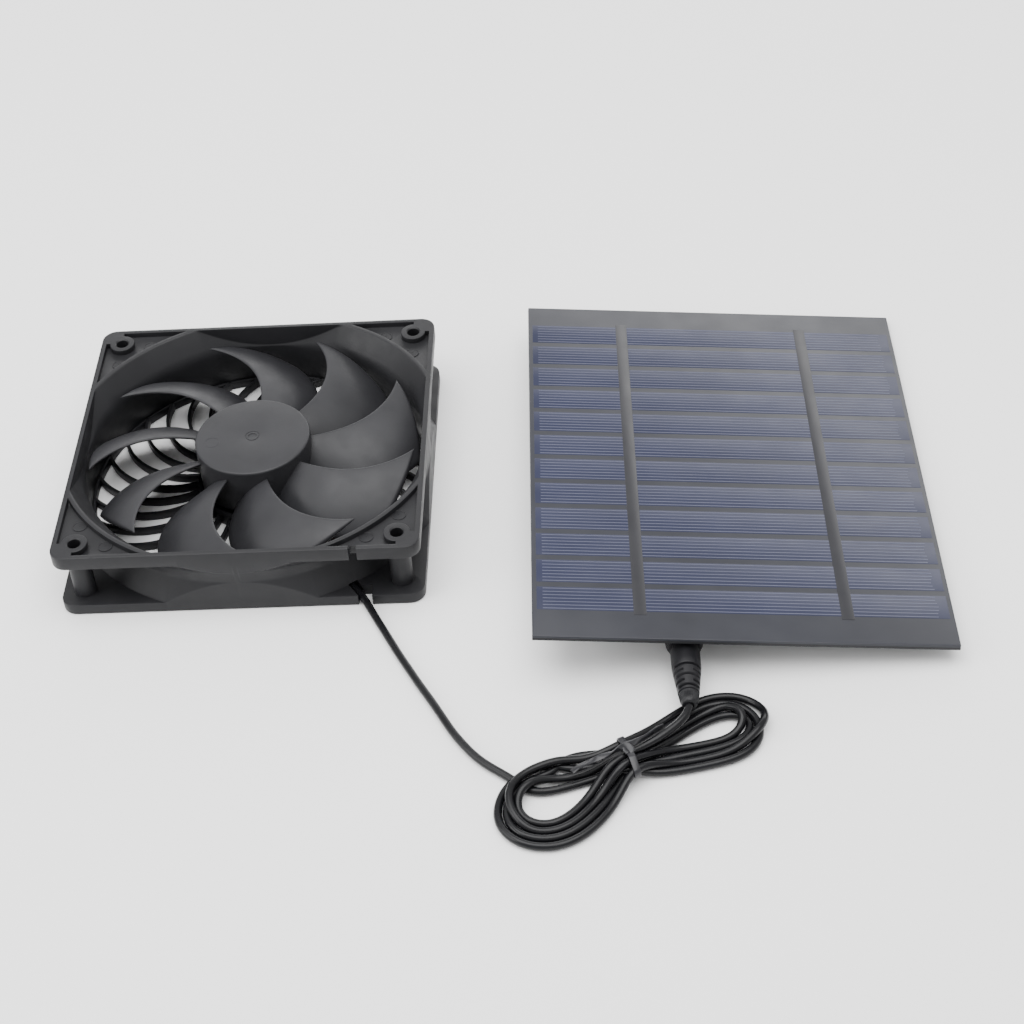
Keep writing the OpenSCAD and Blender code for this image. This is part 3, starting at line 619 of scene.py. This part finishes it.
# The seat that the grille's ring sits in
SEAT_R = 59.0
VANE_H = 3.0
HOLE_AT = 52.5
HOLE_R = 2.15
COLUMN_R = 3.65
BOSS_R = 4.35
BOSS_LOW = 22.5
MARK_AT = 10


def square_reach(angle, half, corner):
    """Distance from the centre to a rounded square's edge."""
    c, s = abs(math.cos(angle)), abs(math.sin(angle))
    reach = half / max(c, s)
    inner = half - corner
    if min(c, s) * reach > inner:
        along = (c + s) * inner
        reach = along + math.sqrt(max(0, along ** 2 - 2 * inner ** 2 + corner ** 2))
    return reach


def frame_section(angle):
    """The frame wall's outline at one angle, from the exhaust side's inner edge round to its outer edge."""
    c = max(abs(math.cos(angle)), abs(math.sin(angle)))
    outer = square_reach(angle, FAN_HALF, CORNER_R)
    flat = FLAT_IN / c
    side = FAN_HALF / c
    mouth = min(MOUTH_R, flat)
    meet_z = min(FLARE_Z + (mouth - DUCT_R) * (FAN_H - FLARE_Z) / (MOUTH_R - DUCT_R), FAN_H - 0.8)
    meet_r = DUCT_R + (meet_z - FLARE_Z) * (MOUTH_R - DUCT_R) / (FAN_H - FLARE_Z)
    rim = square_reach(angle, RIM_IN, CORNER_R - RIM_T)
    lip = max(min(LIP_R, rim), mouth + 0.05)
    rim = max(rim, lip + 0.05)
    depth = (FAN_H - POCKET_Z) * min(1, max(0, rim - lip - 0.05) / 0.5)
    bell_out = min(BELL_OUT, side)
    bell_z = min(BELL_LOW + (bell_out - WALL_R) * 8 / 5.6, FAN_H - TOP_FLANGE - 0.1)
    foot_out = min(FOOT_OUT, side)
    foot_z = max(FOOT_HIGH - (foot_out - WALL_R) * 8 / 5, LOW_FLANGE + 0.1)
    under = FAN_H - TOP_FLANGE
    floor = FAN_H - depth
    # Each corner of the outline as ((radius, height), rounding)
    return [
        ((SEAT_R, 0), 0.25), ((SEAT_R, VANE_H), 0.1), ((DUCT_R, VANE_H), 0.1), ((DUCT_R, FLARE_Z), 2.5),
        ((meet_r, meet_z), 0.3), ((mouth, FAN_H), 0.35), ((lip, FAN_H), 0.3), ((lip, floor), 0.25),
        ((rim, floor), 0.25), ((rim, FAN_H), 0.3), ((outer, FAN_H), 0.45), ((outer, under), 0.35),
        ((bell_out, under), 0.3), ((bell_out, bell_z), 0.4),
        ((WALL_R, BELL_LOW), 1.2), ((WALL_R, FOOT_HIGH), 0.6),
        ((foot_out, foot_z), 0.3), ((foot_out, LOW_FLANGE), 0.3),
        ((outer, LOW_FLANGE), 0.35), ((outer, 0), 0.45),
    ]


def moved(part, place):
    """The (points, faces) pair moved sideways."""
    points, faces = part
    return [(p[0] + place[0], p[1] + place[1], p[2]) for p in points], faces


def corner_fill(x, y):
    """The solid corner outside a screw hole; x and y are the corner's signs."""
    points = []
    size = FAN_HALF - HOLE_AT - 0.6
    inner = size - CORNER_R
    for z in (BOSS_LOW, FAN_H):
        points += [(x * HOLE_AT, y * HOLE_AT, z), (x * (HOLE_AT + size), y * HOLE_AT, z)]
        for k in range(9):
            a = math.pi / 2 * k / 8
            reach_x, reach_y = inner + CORNER_R * math.cos(a), inner + CORNER_R * math.sin(a)
            points.append((x * (HOLE_AT + reach_x), y * (HOLE_AT + reach_y), z))
        points.append((x * HOLE_AT, y * (HOLE_AT + size), z))
    n = len(points) // 2
    faces = [tuple(range(n)), tuple(range(n, 2 * n))]
    faces += [(k, (k + 1) % n, n + (k + 1) % n, n + k) for k in range(n)]
    return points, faces


def make_frame():
    # Half a degree for each section of the wall
    turns = 720
    points = []
    for k in range(turns):
        angle = 2 * math.pi * (k + 0.5) / turns
        outline = frame_section(angle)
        section = rounded([p for p, r in outline], [r for p, r in outline], 2)
        points += [(p[0] * math.cos(angle), p[0] * math.sin(angle), p[1]) for p in section]
    piece = mesh_piece("fan_frame_shell", points, grid_faces(turns, len(section), closed_rows=True),
                       "fan_plastic", None)
    additions, cutters = [], []
    for x in (-1, 1):
        for y in (-1, 1):
            place = x * HOLE_AT, y * HOLE_AT
            column = revolved([(0.3, 3), (COLUMN_R, 3), (COLUMN_R, 21), (0.3, 21)], [0] * 4, 48)
            boss = revolved([(0.3, BOSS_LOW), (BOSS_R, BOSS_LOW), (BOSS_R, FAN_H), (0.3, FAN_H)],
                            [0, 0, 0.3, 0], 48)
            hole = revolved([(0, -1), (2.6, -1), (2.6, 0), (HOLE_R, 0.35), (HOLE_R, FAN_H - 0.35),
                             (2.6, FAN_H), (2.6, FAN_H + 1), (0, FAN_H + 1)], [0] * 8, 48)
            additions.append(mesh_piece("column", *moved(column, place), "fan_plastic", None))
            additions.append(mesh_piece("boss", *moved(boss, place), "fan_plastic", None))
            cutters.append(mesh_piece("hole", *moved(hole, place), "fan_plastic", None))
            additions.append(mesh_piece("corner", *corner_fill(x, y), "fan_plastic", None))
    cut(piece, additions, "UNION")
    # The groove that the motor's leads run out through, turned into its place
    cutters.append(box_mesh("groove", (56, -1.8, 1), (62, 1.8, 3.6)))
    cutters.append(box_mesh("groove_out", (59.6, -1.7, 1), (90, 1.7, 4.4)))
    for groove in cutters[-2:]:
        groove.data.transform(Matrix.Rotation(LEAD_CHANNEL, 4, "Z"))
    # The notches in the flanges' front edges
    cutters.append(box_mesh("notch_low", (38.2, -61, -1), (42.8, -55, 6)))
    cutters.append(box_mesh("notch_high", (37.2, -61, 19), (39.8, -56.6, 26)))
    cut(piece, cutters)
    smooth(piece)
    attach(piece, "root")
    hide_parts("fan_frame")


def make_mould_marks():
    """The round ejector marks in the corner pockets, two by each screw hole."""
    low, ring, face = POCKET_Z - 0.2, POCKET_Z + 0.22, POCKET_Z + 0.08
    parts = []
    for x in (-1, 1):
        for y in (-1, 1):
            for dx, dy in ((MARK_AT, 0), (0, MARK_AT)):
                mark = revolved([(0.3, low), (2.4, low), (2.4, ring), (2.1, ring), (2.0, face),
                                 (0.3, face)], [0, 0, 0.08, 0.08, 0, 0], 40, 2)
                parts.append(moved(mark, (x * (HOLE_AT - dx), y * (HOLE_AT - dy))))
    points, faces = joined(parts)
    marks = mesh_piece("mould_marks", points, faces, "fan_plastic", "root")


def box_mesh(name, low, high):
    """A plain box, to cut with."""
    points = [(x, y, z) for x in (low[0], high[0]) for y in (low[1], high[1]) for z in (low[2], high[2])]
    faces = [(0, 1, 3, 2), (4, 6, 7, 5), (0, 4, 5, 1), (2, 3, 7, 6), (0, 2, 6, 4), (1, 5, 7, 3)]
    return mesh_piece(name, points, faces, "fan_plastic", None)


# ---------- exhaust vanes ----------

VANES = 32
VANE_HALF = 0.6
# Each vane follows an arc: its radius, its centre's distance from the fan's axis, and its ends in degrees
VANE_ARC_R = 26.1
VANE_ARC_AT = 39.6
VANE_ARC = (-60, 98)
VANE_STEPS = 96
# A vane is left out inside the motor base, beyond the ring and in the leads' channel
VANE_IN = 20.8
VANE_OUT = 57.9
CHANNEL_HALF = 2.3


def make_vanes():
    parts = []
    section = rounded([(-VANE_HALF, 0), (VANE_HALF, 0), (VANE_HALF, VANE_H), (-VANE_HALF, VANE_H)],
                      [0.3] * 4, 2)
    n = len(section)
    for k in range(VANES):
        turn = math.radians(360 * (k + 0.5) / VANES)
        runs = [[]]
        for step in range(VANE_STEPS + 1):
            a = math.radians(VANE_ARC[0] + (VANE_ARC[1] - VANE_ARC[0]) * step / VANE_STEPS)
            x, y = VANE_ARC_R * math.cos(a), VANE_ARC_R * math.sin(a) - VANE_ARC_AT
            at = math.atan2(y, x) + turn - LEAD_CHANNEL
            beside = abs(math.sin(at)) * math.hypot(x, y)
            in_channel = beside < CHANNEL_HALF and math.cos(at) > 0
            if in_channel or not VANE_IN < math.hypot(x, y) < VANE_OUT:
                runs.append([])
                continue
            for across, z in section:
                px, py = x + across * math.cos(a), y + across * math.sin(a)
                runs[-1].append((px * math.cos(turn) - py * math.sin(turn),
                                 px * math.sin(turn) + py * math.cos(turn), z))
        for points in runs:
            rows = len(points) // n
            if rows > 1:
                parts.append((points, capped(rows, n)))
    # The channel: a floor and two walls from the motor base to the ring
    out, inside, floor = 2.8, 1.8, 1
    trough = [(-out, 0), (out, 0), (out, VANE_H), (inside, VANE_H),
              (inside, floor), (-inside, floor), (-inside, VANE_H), (-out, VANE_H)]
    c, s = math.cos(LEAD_CHANNEL), math.sin(LEAD_CHANNEL)
    points = [(r * c - y * s, r * s + y * c, z) for r in (20.6, 57.6) for y, z in trough]
    parts.append((points, capped(2, len(trough))))
    ring_in, ring_out = 57.2, 58.95
    parts.append(revolved([(ring_in, 0), (ring_out, 0), (ring_out, VANE_H), (ring_in, VANE_H)],
                          [0.3] * 4, 180, 2))
    # The motor base: a recessed floor inside a rim, and the sleeve round the bearing tube
    parts.append(revolved([(4.6, 0.8), (20, 0.8), (20, 0), (21.5, 0), (21.5, 5), (20, 5), (20, 2.6),
                           (6.5, 2.6), (6.5, 5.4), (4.6, 5.4)], [0.2] * 10, 128, 2))
    points, faces = joined(parts)
    piece = mesh_piece("exhaust_grille", points, faces, "fan_plastic", "root")
    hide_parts("exhaust_vanes")


# ---------- impeller ----------

BLADES = 9
HUB_R = 19.7
HUB_TOP = 23.3
HUB_LOW = 6.0
HUB_WALL = 1.6
HUB_LID = 2
GATE_AT = (-13.6, -2.6)
TIP_R = 56.2
ROOT_R = 18.9
BLADE_HALF = 0.95
# How much of the blade, from each upright edge and from the tip, is rounded
EDGE_SHARE = 0.035
TIP_SHARE = 0.02


def blade_chord(s):
    """The angle, in degrees, that a blade takes up at s, the share of the way from root to tip."""
    return 37 - 6 * s


def blade_angle(s, u):
    """The angle at u, the share of the way from the leading edge to the trailing edge."""
    chord = blade_chord(s)
    return math.radians(32.4 - 23 * (1 - s * s) - chord * u)


def blade_height(s, u):
    """The height of the blade's upper side."""
    lead = 20.0 + 1.7 * s
    trail = 7.6 + 0.7 * s
    return lead - (lead - trail) * (0.35 * u + 0.65 * u * u)


def blade_flat_half(u):
    """Half the blade's thickness, greatest midway between its edges."""
    return BLADE_HALF * (0.5 + 2 * u * (1 - u))


def blade_half(s, u):
    """Half the blade's upright thickness: round at both edges and at the tip."""
    radius = ROOT_R + s * (TIP_R - ROOT_R)
    # The trailing edge lies 12.4 + s below the leading edge
    slope = (12.4 + s) * (0.35 + 1.3 * u) / (radius * math.radians(blade_chord(s)))
    ends = 1.0
    for share, reach in ((u, EDGE_SHARE), (1 - u, EDGE_SHARE), (1 - s, TIP_SHARE)):
        if share < reach:
            ends *= math.sqrt(max(0.0, 1 - (1 - share / reach) ** 2)) * 0.92 + 0.08
    return blade_flat_half(u) * math.sqrt(1 + slope ** 2) * ends


def blade_part(turn):
    """One blade: rows of points round its section, closer together at the edges and the tip."""
    across, along = 26, 30
    points = []
    shares = [0.5 - 0.5 * math.cos(math.pi * j / across) for j in range(across + 1)]
    for i in range(along + 1):
        s = i / along
        s = 1 - (1 - s) ** 1.6
        radius = ROOT_R + s * (TIP_R - ROOT_R)
        for side, row in ((1, shares), (-1, shares[-2:0:-1])):
            for u in row:
                a = blade_angle(s, u) + turn
                z = blade_height(s, u) - blade_flat_half(u) + side * blade_half(s, u)
                points.append((radius * math.cos(a), radius * math.sin(a), z))
    return points, capped(along + 1, 2 * across)


def make_impeller():
    parts = [blade_part(2 * math.pi * k / BLADES) for k in range(BLADES)]
    dimple, groove, inside, under = HUB_TOP - 0.25, HUB_TOP - 0.15, HUB_R - HUB_WALL, HUB_TOP - HUB_LID
    parts.append(revolved([
        (0.02, dimple), (1.5, dimple), (1.5, HUB_TOP), (2.1, HUB_TOP), (2.1, groove), (2.5, groove),
        (2.5, HUB_TOP), (HUB_R, HUB_TOP), (HUB_R, HUB_LOW), (inside, HUB_LOW), (inside, under),
        (0.02, under)],
        [0, 0.1, 0.1, 0.1, 0.05, 0.05, 0.1, 0.9, 0.3, 0.2, 0.2, 0], 128, 4))
    # The round mark that the mould's gate leaves on the hub
    low, high = HUB_TOP - 0.2, HUB_TOP + 0.04
    gate = revolved([(2.3, low), (2.55, low), (2.55, high), (2.3, high)], [0] * 4, 40)
    parts.append(moved(gate, GATE_AT))
    points, faces = joined(parts)
    piece = mesh_piece("impeller_moulding", points, faces, "rotor_plastic", "rotor", 50)
    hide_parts("impeller")


# ---------- the plug ----------

def record_axis(rows, name):
    """The axis of the joint or mount with this name."""
    return Vector(next(row["axis"] for row in rows if row["name"] == name))


SLIDE = record_axis(frame["record"]["behaviour"]["joints"], "plug_slide")
PANEL_UP = -record_axis(frame["record"]["mounts"], "panel_back")
# The plug's outline as (radius, distance from the socket's mouth)
PLUG_OUT = [
    (0.05, 0.3), (5.4, 0.3), (5.85, 0.5), (6.0, 0.95), (6.0, 5.6), (5.9, 6.5), (5.55, 7.4),
    (5.05, 8.4), (4.75, 9.4), (4.62, 10.8), (4.6, 14), (4.58, 17.4), (4.4, 19.2), (3.35, 28.2),
    (3.3, 28.5), (2.95, 28.65), (2.95, 28.95), (3.15, 29.1), (3.1, 30.0), (2.8, 31.8), (2.3, 33.0),
    (1.9, 33.3), (1.36, 33.3), (1.36, 31.5), (0.05, 31.5)]
RIBS = 36
SEGMENTS = 216
# The barrel's middle is this far inside the socket's mouth
BARREL_IN = 2.45
SLOT_FIRST = 19.2
SLOT_STEP = 2.05
SLOT_COUNT = 5
SLOT_W = 0.95
SLOT_DEPTH = 0.85


def step_between(value, low, high):
    """From 0 at the low value to 1 at the high one, smoothly."""
    t = min(1, max(0, (value - low) / (high - low)))
    return t * t * (3 - 2 * t)


def plug_cut(distance, angle):
    """How deep the ribs and the slots cut into the plug there."""
    ribs = 0.5 - 0.5 * math.cos(RIBS * angle)
    collar = step_between(distance, 0.9, 1.6) * (1 - step_between(distance, 9.5, 11.5))
    tail = step_between(distance, 29.1, 29.6) * (1 - step_between(distance, 31.5, 32.8))
    depth = 0.22 * ribs * collar + 0.18 * ribs * tail
    for k in range(SLOT_COUNT):
        off = abs(distance - SLOT_FIRST - k * SLOT_STEP)
        across = 1 - step_between(off, SLOT_W / 2 - 0.15, SLOT_W / 2 + 0.08)
        wave = abs(math.sin(angle)) if k % 2 == 0 else abs(math.cos(angle))
        depth = max(depth, SLOT_DEPTH * across * step_between(wave, 0.34, 0.42))
    return depth


def make_plug():
    low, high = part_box("plug_barrel")
    out = -SLIDE
    mouth = (low + high) / 2 / MM + out * BARREL_IN
    side = out.cross(PANEL_UP).normalized()
    up = side.cross(out)
    rows = []
    for (r0, d0), (r1, d1) in zip(PLUG_OUT, PLUG_OUT[1:]):
        # The rows lie closer together where the slots are
        fine = 0.13 if d0 > 17 and d1 < 29 else 0.5
        count = max(1, round(math.hypot(r1 - r0, d1 - d0) / fine))
        rows += [(r0 + (r1 - r0) * k / count, d0 + (d1 - d0) * k / count) for k in range(count)]
    rows.append(PLUG_OUT[-1])
    points = []
    for r, d in rows:
        for k in range(SEGMENTS):
            a = 2 * math.pi * k / SEGMENTS
            inset = plug_cut(d, a) if r > 2.2 and d < 32.9 else 0
            points.append(mouth + out * d + (side * math.cos(a) + up * math.sin(a)) * max(0.05, r - inset))
    faces = capped(len(rows), SEGMENTS)
    plug = mesh_piece("plug_moulding", points, faces, "plug_pvc", "root", 40)
    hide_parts("plug_body")
    return plug


# ---------- the solar panel ----------

PANEL_W = 132.0
PANEL_L = 174.0
SHEET_T = 0.8
BOARD_T = 1.0
CELL_ROWS = 12
CELL_L = 10.5
CELL_PITCH = 12.77
CELL_BACK = 76.0
CELL_HALF = 64.5
TAPE_X = 32.4
TAPE_HALF = 2
TAPE_PAST = 1.5
FINGERS = 7
FINGER_PITCH = 1.52
FINGER_W = 0.34
FINGER_LEFT = -62.6
FINGER_RIGHT = 61.2
# From the middle of the backing board, half its thickness and the laminate's
PANEL_TOP = sum(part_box("backing_board"), Vector()) / 2 / MM + PANEL_UP * (BOARD_T / 2 + SHEET_T)


def on_panel(x, y, z):
    """A point given from the middle of the panel's top face: x across, y to the back, z up out of it."""
    side = SLIDE.cross(PANEL_UP)
    return PANEL_TOP + side * x + SLIDE * y + PANEL_UP * z


def slab(x0, x1, y0, y1, z0, z1, edge):
    """A plate with rounded upright corners and a rounded top edge."""
    outline = [(x1, y0), (x1, y1), (x0, y1), (x0, y0)]
    corner = rounded(outline, [edge * 2] * 4, 3)
    levels = [(0, z0), (0, z1 - edge), (edge * 0.3, z1 - edge * 0.3), (edge, z1)]
    middle = Vector(((x0 + x1) / 2, (y0 + y1) / 2))
    points = []
    for inset, z in levels:
        for p in corner:
            points.append((p[0] - math.copysign(inset, p[0] - middle.x),
                           p[1] - math.copysign(inset, p[1] - middle.y), z))
    return points, capped(len(levels), len(corner))


def panel_piece(name, parts, finish, slot, *nodes):
    """A piece given in the panel's own frame, which moves with the panel."""
    points, faces = joined(parts)
    piece = mesh_piece(name, [on_panel(*p) for p in points], faces, finish, "panel")
    if nodes:
        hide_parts(*nodes)
    return piece


def make_panel():
    half_w, half_l = PANEL_W / 2, PANEL_L / 2
    panel_piece("laminate_sheet", [slab(-half_w, half_w, -half_l, half_l, -SHEET_T, 0, 0.22)],
                "laminate", "laminate", "panel_laminate")
    low, high = -SHEET_T - BOARD_T, -SHEET_T - 0.01
    panel_piece("back_board", [slab(-half_w, half_w, -half_l, half_l, low, high, 0.08)],
                "board", "board", "backing_board")
    cells, fingers = [], []
    for row in range(CELL_ROWS):
        back = CELL_BACK - row * CELL_PITCH
        cells.append(slab(-CELL_HALF, CELL_HALF, back - CELL_L, back, -0.02, 0.03, 0.02))
        for line in range(FINGERS):
            y = back - CELL_L / 2 + (line - (FINGERS - 1) / 2) * FINGER_PITCH
            # The fingers stop short of the right end, a little unevenly
            end = FINGER_RIGHT + 0.35 * math.sin(row * 2.1 + line * 1.3)
            fingers.append(slab(FINGER_LEFT, end, y - FINGER_W / 2, y + FINGER_W / 2, 0.02, 0.06, 0.02))
    panel_piece("cell_strips", cells, "silicon", "silicon", "solar_cells")
    panel_piece("finger_lines", fingers, "finger_silver", "silicon")
    back = CELL_BACK + TAPE_PAST
    front = CELL_BACK - (CELL_ROWS - 1) * CELL_PITCH - CELL_L - TAPE_PAST
    tapes = [slab(x - TAPE_HALF, x + TAPE_HALF, front, back, -0.02, 0.11, 0.06) for x in (-TAPE_X, TAPE_X)]
    panel_piece("bus_tapes", tapes, "tape", "tape", "busbar_tapes")


# ---------- the junction box under the panel ----------

BOX_X = -18.3
BOX_Y = (-74.0, -42.0)
BOX_HALF = 14.0
BOX_CORNER = 2.0
BOX_WALL = 1.3
BOX_RIM = 0.9
BOX_TOP = -3.0
BOX_LOW = -12.8
SCREW_IN = 3.5
SOCKET_Z = -8.1
SOCKET_R = 4.15


def box_loop(inset, z):
    """A rounded rectangle of the box's plan, drawn in by the inset."""
    steps = 6
    points = []
    middle = (BOX_Y[0] + BOX_Y[1]) / 2
    half_x, half_y = BOX_HALF - inset, (BOX_Y[1] - BOX_Y[0]) / 2 - inset
    r = max(0.3, BOX_CORNER - inset)
    for quarter in range(4):
        cx = half_x - r if quarter in (0, 3) else r - half_x
        cy = half_y - r if quarter in (0, 1) else r - half_y
        for k in range(steps + 1):
            a = math.pi / 2 * (quarter + k / steps)
            points.append((BOX_X + cx + r * math.cos(a), middle + cy + r * math.sin(a), z))
    return points


def box_loft(levels):
    """A solid through rounded rectangles, each given as (inset, height)."""
    points = [p for level in levels for p in box_loop(*level)]
    return points, capped(len(levels), len(points) // len(levels))


def make_box():
    outside = [(0, BOX_TOP)]
    outside += [(BOX_RIM * (1 - math.cos(a)), BOX_LOW + BOX_RIM * (1 - math.sin(a)))
                for a in (0, math.pi / 6, math.pi / 3, math.pi / 2)]
    cover = panel_piece("box_cover_shell", [box_loft(outside)], "box_plastic", "box_plastic",
                        "junction_cover")
    hollow = box_loft([(BOX_WALL, BOX_TOP + 1), (BOX_WALL, BOX_LOW + BOX_WALL)])
    cutters = [mesh_piece("hollow", *hollow, "box_plastic", None)]
    # The socket's hole through the front wall
    points, faces = revolved([(0.02, -6), (SOCKET_R, -6), (SOCKET_R, 4), (0.02, 4)], [0] * 4, 48)
    points = [(BOX_X + p[0], BOX_Y[0] + p[2], SOCKET_Z + p[1]) for p in points]
    cutters.append(mesh_piece("nose", points, faces, "box_plastic", None))
    for x in (BOX_X - BOX_HALF + SCREW_IN, BOX_X + BOX_HALF - SCREW_IN):
        for y in (BOX_Y[0] + SCREW_IN, BOX_Y[1] - SCREW_IN):
            points, faces = revolved([(0.02, -2), (1.8, -2), (1.8, 0.8), (1.05, 0.8), (1.05, 12),
                                      (0.02, 12)], [0] * 6, 32)
            points = [(x + p[0], y + p[1], BOX_LOW + p[2]) for p in points]
            cutters.append(mesh_piece("bore", points, faces, "box_plastic", None))
    for cutter in cutters:
        for vertex in cutter.data.vertices:
            vertex.co = on_panel(*(vertex.co / MM)) * MM
    cut(cover, cutters)
    smooth(cover)


# ---------- finish the CAD nodes that stay ----------

def finish_cad_nodes():
    slots = {row["node"]: row["material_slot"] for row in frame["record"]["subparts"]}
    for name, node in frame["nodes"].items():
        node.data.materials.clear()
        node.data.materials.append(FINISH[slots[name]])


make_camera()
FINISH = make_finishes()
lead, lead_line = make_lead()
tie = make_tie(lead_line)
make_studio()
finish_cad_nodes()
make_frame()
make_mould_marks()
make_vanes()
make_impeller()
plug = make_plug()
make_panel()
make_box()
